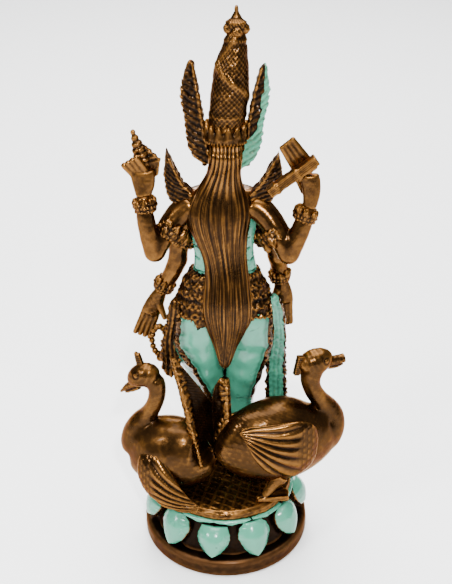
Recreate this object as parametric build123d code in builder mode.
"""Four-armed goddess on a lotus base with a swan and a peacock behind her.

Millimetres. +Z is up, the goddess faces -Y and the origin is the centre of the base's underside.
Left and right are the goddess's own: her left is +X. The two birds stand behind her, at +Y.
"""

import os
from math import cos, radians, sin

from build123d import *

os.makedirs("parts", exist_ok=True)

# Base
PLATE_RADIUS = 48.0
PLATE_THICKNESS = 10.4
DRUM_FOOT_RADIUS = 41.5
DRUM_WAIST_RADIUS = 37.8
DRUM_TOP_RADIUS = 36.5
SEAT_RADIUS = 38.0
SEAT_UNDERSIDE = 31.5
SEAT_TOP = 37.5
DRUM_WALL = 5.5
DRUM_HOLLOW = 15.5
SPIGOT_RADIUS = 12.0
SPIGOT_HEIGHT = 4.0

# Lotus petals
PETAL_COUNT = 10
PETAL_STEP = 360.0 / PETAL_COUNT
PETAL_START = 7.0
PETAL_LENGTH = 21.5
PETAL_WIDTH = 19.5
PETAL_THICKNESS = 2.6
PETAL_TIP_RADIUS = 46.2
PETAL_LEAN = 28.0
UPPER_PETAL_LENGTH = 9.0
UPPER_PETAL_WIDTH = 17.0
UPPER_PETAL_THICKNESS = 1.6

# Birds
SPLAY = 20.0
SWAN_ROOT = Vector(-8, 19, 0)
PEACOCK_ROOT = Vector(12, 21, 0)
TAIL_THICKNESS = 3.6
WING_THICKNESS = 4.0

# Goddess
FIGURE_Y = -8.0
FEET_TOP = 46.0
KNEE_HEIGHT = 92.0
HIP_HEIGHT = 146.0
WAIST_HEIGHT = 174.0
NECK_FOOT = 213.0
CHIN_HEIGHT = 221.5
CROWN_FOOT = 242.0
CONE_TOP = 288.0
TOTAL_HEIGHT = 300.0
CREST_THICKNESS = 5.0
ELBOW_GROWTH = 0.45
TENON_RADIUS = 2.6
PEG_RADIUS = 1.6
PEG_LENGTH = 5.0
PEG_BITE = 1.2
EAR_STUD_RADIUS = 3.2
EAR_DROP_RADIUS = 1.9
EARRING_THICKNESS = 2.6
PENDANT_RADIUS = 3.0
FOOT_LENGTH = 23.0
FOOT_WIDTH = 9.0
FOOT_THICKNESS = 5.2
ANKLE_RADIUS = 3.6
LEAF_THICKNESS = 3.0

FLAT_DOWN = (Align.CENTER, Align.CENTER, Align.MIN)


def section(centre, direction, side, half_side, half_other):
    """Elliptical section across a limb, its first half axis lying along the given side."""
    with BuildSketch(Plane(origin=centre, x_dir=side, z_dir=direction)) as outline:
        Ellipse(half_side, half_other)
    return outline.sketch


def limb_sections(stations, side):
    """Sections across a bent path of (centre, half width along the side, other half width)."""
    centres = [Vector(*centre) for centre, _, _ in stations]
    sections = []
    for index, (_, half_side, half_other) in enumerate(stations):
        before = centres[max(index - 1, 0)]
        after = centres[min(index + 1, len(centres) - 1)]
        sections.append(section(centres[index], after - before, side, half_side, half_other))
    return sections


def column_sections(stations):
    """Level sections of a column of (height, x, y, half width, half depth)."""
    return [
        section(Vector(x, y, height), (0, 0, 1), (1, 0, 0), half_width, half_depth)
        for height, x, y, half_width, half_depth in stations
    ]


def peg(foot, tip, radius):
    """Round peg between two points, to be added to a piece or cut from its neighbour."""
    axis = Vector(*tip) - Vector(*foot)
    with BuildPart(Plane(origin=foot, z_dir=axis)) as pin:
        Cylinder(radius, axis.length, align=FLAT_DOWN)
    return pin.part


def save(piece, name):
    """Labels a finished piece and writes it to its own file."""
    piece.part.label = name
    export_step(piece.part, f"parts/{name}.step")


# ---------------------------------------------------------------- base

with BuildPart() as base_plate:
    Cylinder(PLATE_RADIUS, PLATE_THICKNESS, align=FLAT_DOWN)
    rims = base_plate.edges().filter_by(GeomType.CIRCLE).group_by(Axis.Z)
    fillet(rims[-1], 2.2)
    chamfer(base_plate.edges().filter_by(GeomType.CIRCLE).group_by(Axis.Z)[0], 0.8)
    with Locations((0, 0, PLATE_THICKNESS)):
        Cylinder(SPIGOT_RADIUS, SPIGOT_HEIGHT, align=FLAT_DOWN)
save(base_plate, "base_plate")

with BuildPart() as lotus_drum:
    with BuildSketch(Plane.XZ):
        with BuildLine():
            Polyline(
                (0, SEAT_UNDERSIDE),
                (0, PLATE_THICKNESS),
                (DRUM_FOOT_RADIUS, PLATE_THICKNESS),
            )
            ThreePointArc(
                (DRUM_FOOT_RADIUS, PLATE_THICKNESS),
                (DRUM_WAIST_RADIUS, 0.5 * (PLATE_THICKNESS + SEAT_UNDERSIDE)),
                (DRUM_TOP_RADIUS, SEAT_UNDERSIDE),
            )
            Line((DRUM_TOP_RADIUS, SEAT_UNDERSIDE), (0, SEAT_UNDERSIDE))
        make_face()
    revolve(axis=Axis.Z)
    with Locations((0, 0, PLATE_THICKNESS), (0, 0, SEAT_UNDERSIDE - SPIGOT_HEIGHT)):
        Cylinder(SPIGOT_RADIUS, SPIGOT_HEIGHT, align=FLAT_DOWN, mode=Mode.SUBTRACT)
    with BuildSketch(Plane.XY.offset(PLATE_THICKNESS)):
        Circle(DRUM_TOP_RADIUS - DRUM_WALL)
        Circle(SPIGOT_RADIUS + DRUM_WALL, mode=Mode.SUBTRACT)
    extrude(amount=DRUM_HOLLOW, mode=Mode.SUBTRACT)
save(lotus_drum, "lotus_drum")

with BuildPart() as seat_disc:
    with Locations((0, 0, SEAT_UNDERSIDE)):
        Cylinder(SEAT_RADIUS, SEAT_TOP - SEAT_UNDERSIDE, align=FLAT_DOWN)
    fillet(seat_disc.edges().filter_by(GeomType.CIRCLE), 2.0)
    with Locations((0, 0, SEAT_UNDERSIDE - SPIGOT_HEIGHT)):
        Cylinder(SPIGOT_RADIUS, SPIGOT_HEIGHT, align=FLAT_DOWN)


def petal_ring(tip_radius, tip_height, length, width, thickness, lean, start):
    """Ring of pointed leaves that lie against the drum with their tips down."""
    with BuildPart() as ring:
        for index in range(PETAL_COUNT):
            turn = radians(start + index * PETAL_STEP)
            outward = Vector(cos(turn), sin(turn), 0)
            along = Vector(0, 0, -1) * cos(radians(lean)) + outward * sin(radians(lean))
            across = Vector(-sin(turn), cos(turn), 0)
            tip = outward * tip_radius + Vector(0, 0, tip_height)
            with BuildSketch(Plane(origin=tip, x_dir=across, z_dir=across.cross(along))):
                with BuildLine():
                    Spline(
                        (0, 0),
                        (-0.5 * width, -0.55 * length),
                        (-0.36 * width, -length),
                        tangents=[(-1, -0.75), (0.3, -1)],
                    )
                    Line((-0.36 * width, -length), (0.36 * width, -length))
                    Spline(
                        (0.36 * width, -length),
                        (0.5 * width, -0.55 * length),
                        (0, 0),
                        tangents=[(0.3, 1), (-1, 0.75)],
                    )
                make_face()
            extrude(amount=-thickness)
        add(lotus_drum.part, mode=Mode.SUBTRACT)
        add(seat_disc.part, mode=Mode.SUBTRACT)
        add(base_plate.part, mode=Mode.SUBTRACT)
    return ring


lotus_petals = petal_ring(
    PETAL_TIP_RADIUS,
    PLATE_THICKNESS + 0.5,
    PETAL_LENGTH,
    PETAL_WIDTH,
    PETAL_THICKNESS,
    PETAL_LEAN,
    PETAL_START,
)
save(lotus_petals, "lotus_petals")

lotus_petal_tips = petal_ring(
    SEAT_RADIUS + 5.6,
    SEAT_UNDERSIDE - 8.2,
    UPPER_PETAL_LENGTH,
    UPPER_PETAL_WIDTH,
    UPPER_PETAL_THICKNESS,
    PETAL_LEAN,
    PETAL_START + 0.5 * PETAL_STEP,
)
save(lotus_petal_tips, "lotus_petal_tips")


# ---------------------------------------------------------------- birds

class Perch:
    """A bird's own frame: distance forward along its heading, sideways towards +Y, and height."""

    def __init__(self, root, mirror):
        self.root = root
        self.heading = Vector(mirror * cos(radians(SPLAY)), -sin(radians(SPLAY)), 0)
        self.side = Vector(mirror * sin(radians(SPLAY)), cos(radians(SPLAY)), 0)

    def at(self, forward, sideways, height):
        """Point in the bird's frame."""
        return self.root + self.heading * forward + self.side * sideways + Vector(0, 0, height)

    def tube(self, stations):
        """Sections of (forward, sideways, height, half depth, half height)."""
        path = [
            (tuple(self.at(forward, sideways, height)), half_depth, half_height)
            for forward, sideways, height, half_depth, half_height in stations
        ]
        return limb_sections(path, self.side)

    def panel(self, sideways):
        """Upright plane along the heading, x forward and y up, at a distance to the side."""
        return Plane(
            origin=self.root + self.side * sideways,
            x_dir=self.heading,
            z_dir=self.heading.cross(Vector(0, 0, 1)),
        )


swan = Perch(SWAN_ROOT, -1)
peacock = Perch(PEACOCK_ROOT, 1)

SWAN_BODY = [
    (-9, 0, 76, 5, 10),
    (-2, 0, 74, 11, 18),
    (12, 0, 70, 16.5, 24.5),
    (26, 0, 68, 17.5, 25),
    (40, 0, 67, 15, 20.5),
    (51, 0, 69, 10.5, 14.5),
]
SWAN_NECK = [
    (46, 0, 66, 10, 12),
    (54.5, 0, 73, 8.4, 8.8),
    (53, 0, 80, 6.6, 6.8),
    (47.5, 0, 88.5, 5.2, 5),
    (42.5, 0, 96.5, 4.8, 4.7),
    (40.5, 0, 103.5, 5, 5.2),
    (41.5, 0, 108.5, 5.6, 6.2),
]
SWAN_HEAD = [
    (34.5, 0, 111, 2.8, 3.4),
    (38, 0, 113, 5.4, 6.4),
    (43.5, 0, 114.5, 6.2, 7.4),
    (48.5, 0, 115, 5.2, 6.2),
    (51.5, 0, 113.6, 3.2, 3.8),
]
PEACOCK_BODY = [
    (-3, 0, 66, 4, 8),
    (2, 0, 64.5, 11, 16),
    (12, 0, 63, 15.5, 20.5),
    (24, 0, 61.5, 16.5, 20.5),
    (34, 0, 61, 14, 18.5),
    (40.5, 0, 62.5, 9.5, 14.5),
]
PEACOCK_NECK = [
    (36, 0, 62, 9.5, 11.5),
    (40, 0, 70.5, 8.2, 8.6),
    (37, 0, 78, 6.4, 6.4),
    (31.5, 0, 86.5, 4.9, 4.6),
    (28, 0, 94.5, 4.6, 4.4),
    (26.8, 0, 101.5, 4.6, 4.5),
    (28.5, 0, 108, 5, 5),
]
PEACOCK_HEAD = [
    (27, 0, 109.5, 3.6, 4),
    (30.5, 0, 110.5, 5.4, 5.8),
    (35.5, 0, 109, 6, 6.4),
    (39.5, 0, 106, 5, 5.2),
    (42, 0, 103, 3, 3.2),
]

# Upper and lower half of each bill
SWAN_BILL = [
    [(50, 0, 113.5, 2.6, 3.4), (55, 0, 113, 2.5, 2.9), (60.5, 0, 113.4, 2.7, 2.5)],
    [(50.5, 0, 110.5, 2, 1.8), (55, 0, 109.6, 1.9, 1.5), (59.5, 0, 110.6, 1.6, 1.1)],
]
PEACOCK_BEAK = [
    [(40, 0, 103, 2.6, 2.8), (44.5, 0, 99.6, 2, 2), (49, 0, 95.2, 0.7, 0.7)],
    [(37.5, 0, 101, 2, 1.5), (42, 0, 98, 1.6, 1.2), (46.2, 0, 95.4, 0.7, 0.6)],
]


def bird_body(perch, body, neck, head):
    """One casting: plump body, curved neck and rounded head."""
    with BuildPart() as casting:
        loft(sections=perch.tube(body))
        loft(sections=perch.tube(neck))
        loft(sections=perch.tube(head))
    return casting


swan_body = bird_body(swan, SWAN_BODY, SWAN_NECK, SWAN_HEAD)
peacock_body = bird_body(peacock, PEACOCK_BODY, PEACOCK_NECK, PEACOCK_HEAD)

# Bills slip over a peg cast on the front of each head.
swan_peg = peg(swan.at(48, 0, 113.8), swan.at(55, 0, 113.2), PEG_RADIUS)
peacock_peg = peg(peacock.at(39, 0, 104.4), peacock.at(44.5, 0, 99.4), PEG_RADIUS)

with BuildPart() as swan_bill:
    for lobe in SWAN_BILL:
        loft(sections=swan.tube(lobe))
    add(swan_body.part, mode=Mode.SUBTRACT)
    add(swan_peg, mode=Mode.SUBTRACT)
save(swan_bill, "swan_bill")

with BuildPart() as peacock_beak:
    for lobe in PEACOCK_BEAK:
        loft(sections=peacock.tube(lobe))
    add(peacock_body.part, mode=Mode.SUBTRACT)
    add(peacock_peg, mode=Mode.SUBTRACT)
save(peacock_beak, "peacock_beak")

# The crests are thin cast leaves let into the top of each head.
with BuildPart() as swan_crest:
    with BuildSketch(swan.panel(-1.5)):
        with BuildLine():
            Polyline((38, 119), (32.5, 120.2), (30.4, 109), (33.5, 108.6), (38, 119))
        make_face()
    extrude(amount=3.0)
    add(swan_body.part, mode=Mode.SUBTRACT)
save(swan_crest, "swan_crest")

with BuildPart() as peacock_crest:
    with BuildSketch(peacock.panel(1.2)):
        with BuildLine():
            Polyline((33.5, 113.5), (37.8, 113), (39.4, 122.6), (36.6, 122.2), (33.5, 113.5))
        make_face()
    extrude(amount=2.4)
    add(peacock_body.part, mode=Mode.SUBTRACT)
save(peacock_crest, "peacock_crest")


def solid_with_peg(body, pin):
    """The bird's casting with the peg for its bill, ready to save."""
    with BuildPart() as casting:
        add(body.part)
        add(pin)
    return casting


save(solid_with_peg(swan_body, swan_peg), "swan_body")
save(solid_with_peg(peacock_body, peacock_peg), "peacock_body")


def wing(perch, body, stations):
    """Leaf-shaped wing folded against one flank, its inside cut to the body."""
    with BuildPart() as leaf:
        loft(sections=perch.tube(stations))
        add(body.part, mode=Mode.SUBTRACT)
        add(seat_disc.part, mode=Mode.SUBTRACT)
    return leaf


def mirrored(stations, lift=0.0):
    """The same wing on the far flank, its tip carried higher where the seat is in the way."""
    last = len(stations) - 1
    return [
        (forward, -sideways, height + lift * index / last, half_depth, half_height)
        for index, (forward, sideways, height, half_depth, half_height) in enumerate(stations)
    ]


SWAN_WING = [
    (39, 14.5, 70, 1.6, 6),
    (30, 16.6, 71, WING_THICKNESS, 17),
    (17, 16.2, 75, WING_THICKNESS, 16.5),
    (6, 13.0, 81, 3.2, 9.5),
    (-4, 10.5, 87.5, 1.2, 1.8),
]
PEACOCK_WING = [
    (26.5, 13.5, 69, 1.6, 5),
    (24, 16.6, 59.5, WING_THICKNESS, 10),
    (17, 17.8, 49, WING_THICKNESS, 10.5),
    (7.5, 17.2, 42, 2.6, 7),
    (-2, 14.8, 38.5, 1.2, 2.2),
]
swan_wing_front = wing(swan, swan_body, mirrored(SWAN_WING))
peacock_wing_front = wing(peacock, peacock_body, mirrored(PEACOCK_WING, 12.0))
save(wing(swan, swan_body, SWAN_WING), "swan_wing_rear")
save(swan_wing_front, "swan_wing_front")
save(wing(peacock, peacock_body, PEACOCK_WING), "peacock_wing_rear")
save(peacock_wing_front, "peacock_wing_front")


def tail_fan(stations, neighbours):
    """Upright leaf of level strips (height, near x, near y, far x, far y), widest at mid height."""
    sections = []
    for height, near_x, near_y, far_x, far_y in stations:
        near = Vector(near_x, near_y, height)
        far = Vector(far_x, far_y, height)
        with BuildSketch(Plane(origin=(near + far) * 0.5, x_dir=near - far, z_dir=(0, 0, 1))) as strip:
            Rectangle((near - far).length, TAIL_THICKNESS)
        sections.append(strip.sketch)
    with BuildPart() as fan:
        loft(sections=sections, ruled=True)
        for other in neighbours:
            add(other.part, mode=Mode.SUBTRACT)
    return fan


# The two fans stand like the leaves of an open book, their far edges meeting in a spine.
PEACOCK_FAN = [
    (50, 12.4, 33, 7.4, 20),
    (66, 15.4, 29, 8.2, 15),
    (80, 18.8, 24.5, 8.4, 11.5),
    (91, 21.6, 21, 8.6, 9),
    (104, 24.7, 18, 15.5, 11),
    (116, 27.6, 15.6, 23, 12.4),
    (123, 29.2, 14.4, 27.8, 13.4),
]
SWAN_FAN = [
    (58, -1.6, 25, 6.2, 19),
    (72, -2.4, 20, 7.2, 13),
    (84, -2.4, 17, 7.4, 10.5),
    (94, -2, 13.6, 7, 8.6),
    (102, -1.6, 11, 5.4, 7.4),
    (107, -1, 9.8, 2.2, 7.6),
]
peacock_tail = tail_fan(PEACOCK_FAN, (peacock_body, seat_disc))
swan_tail = tail_fan(SWAN_FAN, (swan_body, swan_wing_front, peacock_tail, peacock_body))
save(peacock_tail, "peacock_tail")
save(swan_tail, "swan_tail")


def bird_legs(perch, body, forward, spread, toe):
    """Both legs with their webbed feet, standing on the seat."""
    with BuildPart() as legs:
        for side in (1, -1):
            hip = perch.at(forward + 6, side * spread, SEAT_TOP + 13)
            ankle = perch.at(forward - 4, side * (spread + 2), SEAT_TOP + 2.0)
            path = [
                (tuple(hip), 5.2, 5.6),
                (tuple((hip + ankle) * 0.5), 3.2, 3.6),
                (tuple(ankle), 1.9, 2.1),
            ]
            loft(sections=limb_sections(path, perch.side))
            foot = Plane(
                origin=perch.at(forward - 4, side * (spread + 2), SEAT_TOP - 0.6),
                x_dir=perch.heading,
                z_dir=(0, 0, 1),
            )
            with BuildSketch(foot):
                Polygon((-4, -1.2), (toe, -5), (toe + 1.5, 0), (toe, 5), (-4, 1.2), align=None)
            extrude(amount=3.0)
        add(body.part, mode=Mode.SUBTRACT)
        add(seat_disc.part, mode=Mode.SUBTRACT)
    return legs


save(bird_legs(swan, swan_body, 14, 9.5, 13), "swan_legs")
save(bird_legs(peacock, peacock_body, 17, 7.5, 11), "peacock_legs")


# ---------------------------------------------------------------- goddess

with BuildPart() as torso:
    loft(
        sections=column_sections(
            [
                (HIP_HEIGHT - 4, 1, FIGURE_Y, 21.5, 12.5),
                (158, 1, FIGURE_Y, 19, 11.5),
                (WAIST_HEIGHT, 1, FIGURE_Y - 0.5, 15.4, 9.5),
                (186, 1.6, FIGURE_Y - 1.5, 16.4, 10.5),
                (197, 1.4, FIGURE_Y - 1.5, 19.2, 11),
                (205, 1.5, FIGURE_Y - 0.5, 20.5, 9),
                (NECK_FOOT - 2, 1.5, FIGURE_Y, 13, 7),
            ]
        )
    )
    loft(
        sections=column_sections(
            [
                (NECK_FOOT - 5, 1.3, FIGURE_Y, 7, 6.5),
                (NECK_FOOT + 4, 0.8, FIGURE_Y - 0.5, 6, 6),
            ]
        )
    )

with BuildPart() as head:
    loft(
        sections=column_sections(
            [
                (CHIN_HEIGHT - 1, 0.3, FIGURE_Y - 4, 4.2, 4.6),
                (CHIN_HEIGHT + 3, 0.3, FIGURE_Y - 1.6, 7.6, 8.8),
                (CHIN_HEIGHT + 11, 0.1, FIGURE_Y - 0.4, 9.4, 10.6),
                (CHIN_HEIGHT + 20, 0, FIGURE_Y, 9.2, 10.4),
                (CROWN_FOOT + 4, -0.2, FIGURE_Y, 6.5, 7.5),
            ]
        )
    )
    loft(
        sections=column_sections(
            [
                (NECK_FOOT + 4, 0.8, FIGURE_Y - 0.5, 6, 6),
                (CHIN_HEIGHT + 6, 0.4, FIGURE_Y, 6, 6.4),
            ]
        )
    )

neck_tenon = peg(
    (0.8, FIGURE_Y - 0.5, NECK_FOOT - 4),
    (0.8, FIGURE_Y - 0.5, NECK_FOOT + 4.5),
    TENON_RADIUS,
)
crown_tenon = peg(
    (0, FIGURE_Y, CROWN_FOOT - 6),
    (-0.6, FIGURE_Y, CROWN_FOOT + 8),
    TENON_RADIUS,
)

LEG_LEFT = [
    (HIP_HEIGHT - 2, 11.5, FIGURE_Y, 12.5, 12.5),
    (128, 13.6, FIGURE_Y, 13.4, 13),
    (108, 12.2, FIGURE_Y - 2, 11.2, 11),
    (KNEE_HEIGHT, 9.6, FIGURE_Y - 4, 9.2, 9.5),
    (66, 8.4, FIGURE_Y - 7, 8.2, 8.5),
    (FEET_TOP - 3, 8.2, FIGURE_Y - 8, 8, 8.2),
]


def skirt_leg(mirror):
    """One draped leg, from the hip to the ankle; the two meet on the centre line."""
    stations = [
        (height, mirror * x + 0.5, y, half_width, half_depth)
        for height, x, y, half_width, half_depth in LEG_LEFT
    ]
    with BuildPart() as leg:
        loft(sections=column_sections(stations))
        with Locations((0.5 - mirror * 60, 0, 100)):
            Box(120, 120, 220, mode=Mode.SUBTRACT)
        for body in (torso, swan_body, peacock_body):
            add(body.part, mode=Mode.SUBTRACT)
    return leg


skirt_left = skirt_leg(1)
skirt_right = skirt_leg(-1)
save(skirt_left, "skirt_left")
save(skirt_right, "skirt_right")

with BuildPart() as hip_belt:
    loft(
        sections=column_sections(
            [
                (HIP_HEIGHT - 10, 1, FIGURE_Y, 26.5, 16),
                (HIP_HEIGHT + 4, 1, FIGURE_Y, 25.5, 15.5),
                (HIP_HEIGHT + 14, 1, FIGURE_Y, 21, 13.5),
                (HIP_HEIGHT + 20, 1, FIGURE_Y, 18.2, 12),
            ]
        )
    )
    for body in (torso, skirt_left, skirt_right):
        add(body.part, mode=Mode.SUBTRACT)
save(hip_belt, "hip_belt")

with BuildPart() as hair:
    loft(
        sections=column_sections(
            [
                (112, 0.3, FIGURE_Y + 14, 1.2, 1.5),
                (124, 0.2, FIGURE_Y + 14, 6, 3.5),
                (140, -0.5, FIGURE_Y + 14.5, 12, 6),
                (156, -0.8, FIGURE_Y + 13, 12.6, 7),
                (180, 1.5, FIGURE_Y + 8, 12.2, 7),
                (200, 3.8, FIGURE_Y + 7.5, 14.5, 6.5),
                (210, 3, FIGURE_Y + 6, 12, 6),
                (222, 1, FIGURE_Y + 7, 8.2, 6.5),
                (236, 0, FIGURE_Y + 7, 7, 5),
            ]
        )
    )
    for body in (torso, head, hip_belt, skirt_left, skirt_right):
        add(body.part, mode=Mode.SUBTRACT)
save(hair, "hair")

with BuildPart() as skirt_pleat:
    loft(
        sections=column_sections(
            [
                (HIP_HEIGHT - 12, 0.5, FIGURE_Y - 13.5, 5.5, 4),
                (110, 0.5, FIGURE_Y - 14.5, 5, 4),
                (76, 0.5, FIGURE_Y - 14.5, 6.5, 4),
                (FEET_TOP, 0.5, FIGURE_Y - 16, 9, 4),
            ]
        )
    )
    for body in (skirt_left, skirt_right, hip_belt):
        add(body.part, mode=Mode.SUBTRACT)
save(skirt_pleat, "skirt_pleat")

with BuildPart() as feet:
    for side in (1, -1):
        with BuildSketch(Plane.XY.offset(SEAT_TOP)):
            with Locations(Location((0.5 + side * 8, FIGURE_Y - 12), 90)):
                SlotOverall(FOOT_LENGTH, FOOT_WIDTH)
        extrude(amount=FOOT_THICKNESS)
        with Locations((0.5 + side * 8, FIGURE_Y - 8, SEAT_TOP - 3)):
            Cylinder(ANKLE_RADIUS, FEET_TOP - SEAT_TOP + 6, align=FLAT_DOWN)
    for body in (skirt_left, skirt_right):
        add(body.part, mode=Mode.SUBTRACT)
save(feet, "feet")

# The goddess's feet stand in two round sockets in the seat.
with BuildPart() as seat_finished:
    add(seat_disc.part)
    add(feet.part, mode=Mode.SUBTRACT)
save(seat_finished, "seat_disc")


# ---------------------------------------------------------------- head and crown

LEAN = -0.104


def crown_x(height):
    """Sideways place of the leaning crown's axis at a height."""
    return LEAN * max(height - CROWN_FOOT, 0.0)


CONE_STATIONS = [(CROWN_FOOT, 8.4), (251, 9.1), (261, 9), (270, 8.1), (279, 6.4), (CONE_TOP, 4)]

with BuildPart() as crown_cone:
    loft(
        sections=column_sections(
            [(height, crown_x(height), FIGURE_Y + 1, radius, radius) for height, radius in CONE_STATIONS]
        )
    )
    add(head.part, mode=Mode.SUBTRACT)
    add(crown_tenon, mode=Mode.SUBTRACT)

finial_peg = peg(
    (crown_x(CONE_TOP - 5), FIGURE_Y + 1, CONE_TOP - 5),
    (crown_x(CONE_TOP + 2), FIGURE_Y + 1, CONE_TOP + 2),
    PEG_RADIUS,
)
finial_face = Plane(
    origin=(crown_x(CONE_TOP), FIGURE_Y + 1, CONE_TOP),
    x_dir=(1, 0, 0),
    z_dir=(0, -1, 0),
)
with BuildPart() as crown_finial:
    with BuildSketch(finial_face):
        with BuildLine():
            Polyline((0, 0), (3.2, 0), (4.8, 2.4), (4.8, 4.6), (2.6, 6.2))
            Polyline(
                (2.6, 6.2),
                (1.2, 9),
                (0.5, TOTAL_HEIGHT - CONE_TOP),
                (0, TOTAL_HEIGHT - CONE_TOP),
                (0, 0),
            )
        make_face()
    revolve(axis=Axis((crown_x(CONE_TOP), FIGURE_Y + 1, CONE_TOP), (0, 0, 1)))
    add(finial_peg)
save(crown_finial, "crown_finial")

with BuildPart() as crown_cone_finished:
    add(crown_cone.part)
    add(finial_peg, mode=Mode.SUBTRACT)
save(crown_cone_finished, "crown_cone")

with BuildPart() as crown_band:
    loft(
        sections=column_sections(
            [
                (CHIN_HEIGHT + 14, 0, FIGURE_Y, 10.6, 11.8),
                (CHIN_HEIGHT + 18, 0, FIGURE_Y, 11.2, 12.4),
                (CROWN_FOOT, -0.1, FIGURE_Y, 10.4, 11.4),
            ]
        )
    )
    for body in (head, hair, crown_cone):
        add(body.part, mode=Mode.SUBTRACT)
save(crown_band, "crown_band")


def crown_wing(outline):
    """Upright ribbed leaf that flares beside the crown."""
    with BuildPart() as leaf:
        with BuildSketch(Plane.XZ.offset(-FIGURE_Y - 2)):
            with BuildLine():
                Spline(*outline, periodic=True)
            make_face()
        extrude(amount=0.5 * CREST_THICKNESS, both=True)
        for body in (head, hair, crown_band, crown_cone):
            add(body.part, mode=Mode.SUBTRACT)
    return leaf


LEFT_WING = [
    (9, 224.5),
    (15.6, 228),
    (19.4, 246),
    (21, 263),
    (17, 275),
    (13.5, 262),
    (11, 246),
    (8.5, 234),
]
RIGHT_WING = [
    (-9, 222.5),
    (-15, 229),
    (-18, 246),
    (-20.4, 261),
    (-18.4, 273.5),
    (-13.5, 260),
    (-11, 246),
    (-8.5, 234),
]
crown_wing_left = crown_wing(LEFT_WING)
crown_wing_right = crown_wing(RIGHT_WING)
save(crown_wing_left, "crown_wing_left")
save(crown_wing_right, "crown_wing_right")

for side, ear_name in ((1, "earring_left"), (-1, "earring_right")):
    with BuildPart() as earring:
        with BuildSketch(Plane.YZ.offset(side * 10.8)):
            with Locations((FIGURE_Y - 4, CHIN_HEIGHT + 8)):
                Circle(EAR_STUD_RADIUS)
            with Locations((FIGURE_Y - 4, CHIN_HEIGHT + 3.6)):
                Rectangle(1.6, 5)
            with Locations((FIGURE_Y - 4, CHIN_HEIGHT + 1.2)):
                Circle(EAR_DROP_RADIUS)
        extrude(amount=0.5 * EARRING_THICKNESS, both=True)
        for body in (head, crown_wing_left, crown_wing_right):
            add(body.part, mode=Mode.SUBTRACT)
    save(earring, ear_name)

with BuildPart() as head_finished:
    add(head.part)
    add(crown_tenon)
    add(neck_tenon)
save(head_finished, "head")

with BuildPart() as collar:
    loft(
        sections=column_sections(
            [
                (NECK_FOOT - 11, 1.2, FIGURE_Y - 2.6, 14.5, 9.6),
                (NECK_FOOT - 5, 1.3, FIGURE_Y - 1, 12.5, 9.4),
                (NECK_FOOT, 1.2, FIGURE_Y - 0.5, 8.4, 8),
            ]
        )
    )
    with Locations((1, FIGURE_Y - 12.6, NECK_FOOT - 11.4)):
        Sphere(PENDANT_RADIUS)
    for body in (torso, head, hair):
        add(body.part, mode=Mode.SUBTRACT)
save(collar, "collar")


# ---------------------------------------------------------------- arms

# Each arm is an upper run and a forearm run of (centre, half depth, half width).
REAR_LEFT = [
    [
        ((17, -5, 202.5), 7, 6.6),
        ((24, -3, 198), 6.4, 6.2),
        ((30.5, 1, 190), 5.6, 5.6),
        ((36.2, 5, 181), 5, 5),
    ],
    [((36.2, 5, 181), 5, 5), ((39.4, 5.5, 195), 4.6, 4.6), ((41, 4, 211), 3.5, 3.5)],
]
REAR_RIGHT = [
    [
        ((-13, -5, 202.5), 7, 6.6),
        ((-20.5, -2, 198), 6.4, 6.2),
        ((-26.5, 2, 190), 5.8, 5.8),
        ((-31.8, 5, 180), 5.2, 5.2),
    ],
    [((-31.8, 5, 180), 5.2, 5.2), ((-37, 5.2, 192), 4.7, 4.7), ((-41, 4.2, 205), 3.6, 3.6)],
]
FRONT_LEFT = [
    [((17, -13, 200), 6.6, 6.6), ((22.5, -14.5, 186), 5.6, 5.6), ((25.8, -15, 167), 4.8, 4.8)],
    [((25.8, -15, 167), 4.8, 4.8), ((30, -15.5, 157), 4.4, 4.4), ((35.4, -16, 147.5), 3.3, 3.3)],
]
FRONT_RIGHT = [
    [((-13, -13, 200), 6.6, 6.6), ((-21, -14.5, 187), 5.6, 5.6), ((-27.5, -15, 169), 4.9, 4.9)],
    [((-27.5, -15, 169), 4.9, 4.9), ((-28.8, -17, 161), 4.3, 4.3), ((-29.6, -18, 153.5), 3.4, 3.4)],
]


def arm(runs, neighbours):
    """Upper arm and forearm meeting in a round elbow."""
    with BuildPart() as limb:
        for run in runs:
            loft(sections=limb_sections(run, (0, 1, 0)))
        with Locations(runs[1][0][0]):
            Sphere(runs[1][0][1] + ELBOW_GROWTH)
        for body in neighbours:
            add(body.part, mode=Mode.SUBTRACT)
    return limb


def shoulder_tenon(run):
    """Peg from the shoulder end of an arm into the torso."""
    shoulder = Vector(*run[0][0])
    inward = Vector(-shoulder.X, 0, 0).normalized()
    return peg(tuple(shoulder - inward * 4), tuple(shoulder + inward * 6), TENON_RADIUS)


def ring(run, start, length, growth, neighbours):
    """Band round an arm, at a share of one run's length, cut to the arm itself."""
    first = Vector(*run[0][0])
    last = Vector(*run[-1][0])
    centre = first + (last - first) * start
    radius = max(half_side for _, half_side, _ in run) + growth
    with BuildPart() as band:
        with BuildSketch(Plane(origin=centre, z_dir=last - first)):
            Circle(radius)
        extrude(amount=0.5 * length, both=True)
        chamfer(band.edges().filter_by(GeomType.CIRCLE), 0.9)
        for body in neighbours:
            add(body.part, mode=Mode.SUBTRACT)
    return band


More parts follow.
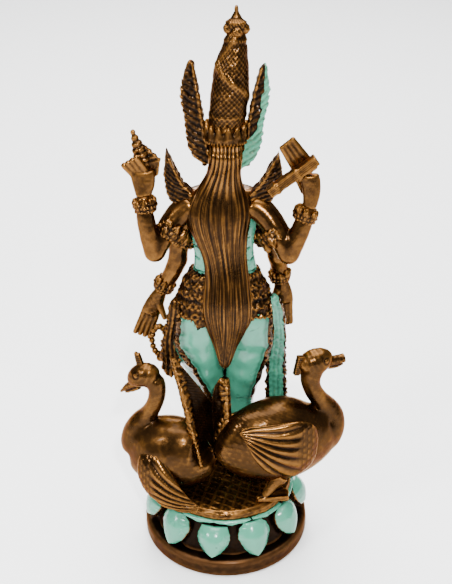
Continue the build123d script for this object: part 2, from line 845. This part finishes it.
def hand(palm, fingers, thumb, side):
    """Palm, four fingers and a thumb; fingers run from a row of knuckles to a row of tips."""
    knuckle_row, tip_row, finger_radius = fingers
    with BuildPart() as piece:
        loft(sections=limb_sections(palm, side))
        for share in (0, 1 / 3, 2 / 3, 1):
            knuckle = Vector(*knuckle_row[0]) * (1 - share) + Vector(*knuckle_row[1]) * share
            finger_tip = Vector(*tip_row[0]) * (1 - share) + Vector(*tip_row[1]) * share
            root = knuckle - (finger_tip - knuckle).normalized() * 2.6
            run = [(tuple(root), finger_radius, finger_radius), (tuple(finger_tip), 1.1, 1.1)]
            loft(sections=limb_sections(run, side))
        loft(sections=limb_sections([(thumb[0], 1.9, 1.9), (thumb[1], 1.2, 1.2)], side))
    return piece


arm_rear_left = arm(REAR_LEFT, (torso,))
arm_rear_right = arm(REAR_RIGHT, (torso,))
arm_front_left = arm(FRONT_LEFT, (torso, arm_rear_left))
arm_front_right = arm(FRONT_RIGHT, (torso, arm_rear_right))

hand_rear_left = hand(
    [((41, 4, 210), 3, 3), ((40.4, 3.4, 216), 3, 5), ((41, 3.2, 223), 2.6, 5.8)],
    ([(38.6, 3, 222.5), (45.4, 3.4, 222)], [(43.5, 6.6, 232), (50, 5, 227.5)], 1.7),
    ((38.4, 2, 215), (36.2, -2.6, 225)),
    (0, 1, 0),
)
hand_rear_right = hand(
    [((-41, 4.2, 204), 3, 3), ((-42.2, 4, 212), 2.8, 4), ((-40.6, 4, 221.5), 2.4, 4.6)],
    ([(-35.6, 4, 221.5), (-41.6, 4, 227)], [(-26.6, 4.6, 236.4), (-31.4, 5, 240.6)], 1.7),
    ((-39.4, 2, 212), (-33.5, -2, 221.5)),
    (0, 1, 0),
)
hand_front_left = hand(
    [((35.2, -16, 148), 2.8, 2.8), ((38.6, -16.4, 141), 2.4, 4.4), ((42, -16.8, 133.5), 2.2, 4.9)],
    ([(38.8, -16.6, 131.4), (45, -17, 134.6)], [(43, -15, 118), (51, -16, 121)], 1.6),
    ((37, -15.6, 141), (33.4, -12.6, 131.6)),
    (0, 1, 0),
)
hand_front_right = hand(
    [((-29.6, -18, 154.4), 2.9, 2.9), ((-31, -17.6, 147.5), 2.4, 4.4), ((-32, -17, 140), 2.2, 4.9)],
    ([(-28.6, -17, 139), (-35, -17, 139.4)], [(-30.4, -15.4, 126), (-36, -16, 127)], 1.6),
    ((-28.4, -17, 148), (-24.4, -15.6, 139.6)),
    (0, 1, 0),
)

LIMBS = {
    "rear_left": (REAR_LEFT, arm_rear_left, hand_rear_left),
    "rear_right": (REAR_RIGHT, arm_rear_right, hand_rear_right),
    "front_left": (FRONT_LEFT, arm_front_left, hand_front_left),
    "front_right": (FRONT_RIGHT, arm_front_right, hand_front_right),
}

with BuildPart() as palm_leaf_book:
    book_foot = Vector(-21, 10.5, 215)
    book_end = Vector(-43.4, 8.8, 231.4)
    with BuildSketch(Plane(origin=book_foot, x_dir=(0, 1, 0), z_dir=book_end - book_foot)):
        RectangleRounded(5.6, 5, 0.8)
    extrude(amount=(book_end - book_foot).length)
    add(hair.part, mode=Mode.SUBTRACT)
save(palm_leaf_book, "palm_leaf_book")

with BuildPart() as lotus_bud:
    bud = [
        ((39.8, -0.8, 223.6), 2.4, 2.4),
        ((41.2, -1, 229.6), 4, 4),
        ((43.2, -0.8, 236), 2.6, 2.6),
        ((45.3, -0.6, 243), 0.9, 0.9),
    ]
    loft(sections=limb_sections(bud, (0, 1, 0)))
    with BuildSketch(Plane.XZ.offset(0.8)):
        with BuildLine():
            Polyline((41, 225), (38.8, 234.6), (32.2, 228.2), (33.4, 220.4), (37.4, 218), (41, 225))
        make_face()
    extrude(amount=0.5 * LEAF_THICKNESS, both=True)
save(lotus_bud, "lotus_bud")

placed = [torso, arm_rear_left, arm_rear_right, arm_front_left, arm_front_right]
hands = {}
for place, (runs, limb, palm) in LIMBS.items():
    armlet = ring(runs[0], 0.6, 6.5, 0.4, placed)
    placed.append(armlet)
    bracelet = ring(runs[1], 0.82, 5.4, 0.6, placed)
    placed.append(bracelet)
    wrist = Vector(*runs[1][-1][0])
    reach = (wrist - Vector(*runs[1][1][0])).normalized()
    wrist_peg = peg(tuple(wrist - reach * PEG_LENGTH), tuple(wrist + reach * PEG_BITE), PEG_RADIUS)
    with BuildPart() as hand_cut:
        add(palm.part)
        for body in (limb, bracelet, palm_leaf_book, lotus_bud):
            add(body.part, mode=Mode.SUBTRACT)
    with BuildPart() as hand_whole:
        add(hand_cut.solids().sort_by(SortBy.VOLUME)[-1])
    hands[place] = hand_whole
    with BuildPart() as hand_finished:
        add(hand_whole.part)
        add(wrist_peg)
    with BuildPart() as arm_finished:
        add(limb.part)
        add(shoulder_tenon(runs[0]))
        add(wrist_peg, mode=Mode.SUBTRACT)
    save(armlet, f"armlet_{place}")
    save(bracelet, f"bracelet_{place}")
    save(arm_finished, f"arm_{place}")
    save(hand_finished, f"hand_{place}")

with BuildPart() as torso_finished:
    add(torso.part)
    add(neck_tenon, mode=Mode.SUBTRACT)
    for runs, _, _ in LIMBS.values():
        add(shoulder_tenon(runs[0]), mode=Mode.SUBTRACT)
save(torso_finished, "torso")


def epaulette(outline, neighbours):
    """Upright spiked leaf that rises from a shoulder."""
    with BuildPart() as leaf:
        with BuildSketch(Plane.XZ.offset(4)):
            with BuildLine():
                Polyline(*outline, close=True)
            make_face()
        extrude(amount=3.2, both=True)
        for body in neighbours:
            add(body.part, mode=Mode.SUBTRACT)
    return leaf


LEFT_SHOULDER = [
    (17, 204),
    (24, 201),
    (29, 208),
    (30.5, 219),
    (29.6, 232.5),
    (26, 223),
    (21.5, 214),
    (16, 209),
]
RIGHT_SHOULDER = [
    (-13, 204),
    (-20, 201),
    (-24, 208),
    (-28, 220),
    (-26, 230.5),
    (-21.5, 222),
    (-17, 214),
    (-12, 209),
]
shoulder_neighbours = [*placed, hair, collar, palm_leaf_book]
epaulette_left = epaulette(LEFT_SHOULDER, shoulder_neighbours)
epaulette_right = epaulette(RIGHT_SHOULDER, shoulder_neighbours)
save(epaulette_left, "epaulette_left")
save(epaulette_right, "epaulette_right")


# ---------------------------------------------------------------- held things and sashes

with BuildPart() as prayer_beads:
    with BuildSketch(Plane.XZ.offset(11.6)):
        with Locations((37, 118.6)):
            Ellipse(5.6, 10.4)
            Ellipse(2.4, 7.2, mode=Mode.SUBTRACT)
    extrude(amount=1.6, both=True)
    add(hands["front_left"].part, mode=Mode.SUBTRACT)
save(prayer_beads, "prayer_beads")

with BuildPart() as sash_left:
    fall = [
        ((24.5, -4, 148), 3, 4.5),
        ((27.5, -3, 136), 2.6, 4.6),
        ((30, -4, 124), 2.6, 5),
        ((30.5, -3, 115), 2.8, 5.4),
        ((29, -1, 109), 1.6, 2.4),
    ]
    loft(sections=limb_sections(fall, (0, 1, 0)))
    for body in (hip_belt, skirt_left, torso):
        add(body.part, mode=Mode.SUBTRACT)
save(sash_left, "sash_left")

with BuildPart() as sash_right:
    fall = [
        ((-23.5, -5, 150), 3, 4),
        ((-26.5, -4, 138), 2.6, 5),
        ((-27.5, -6, 120), 2.6, 5.6),
        ((-28, -8, 104), 2.4, 5.6),
        ((-29, -9, 88), 2.2, 6),
    ]
    loft(sections=limb_sections(fall, (0, 1, 0)))
    for body in (hip_belt, skirt_right, torso, swan_body, swan_wing_front, hands["front_right"]):
        add(body.part, mode=Mode.SUBTRACT)
save(sash_right, "sash_right")
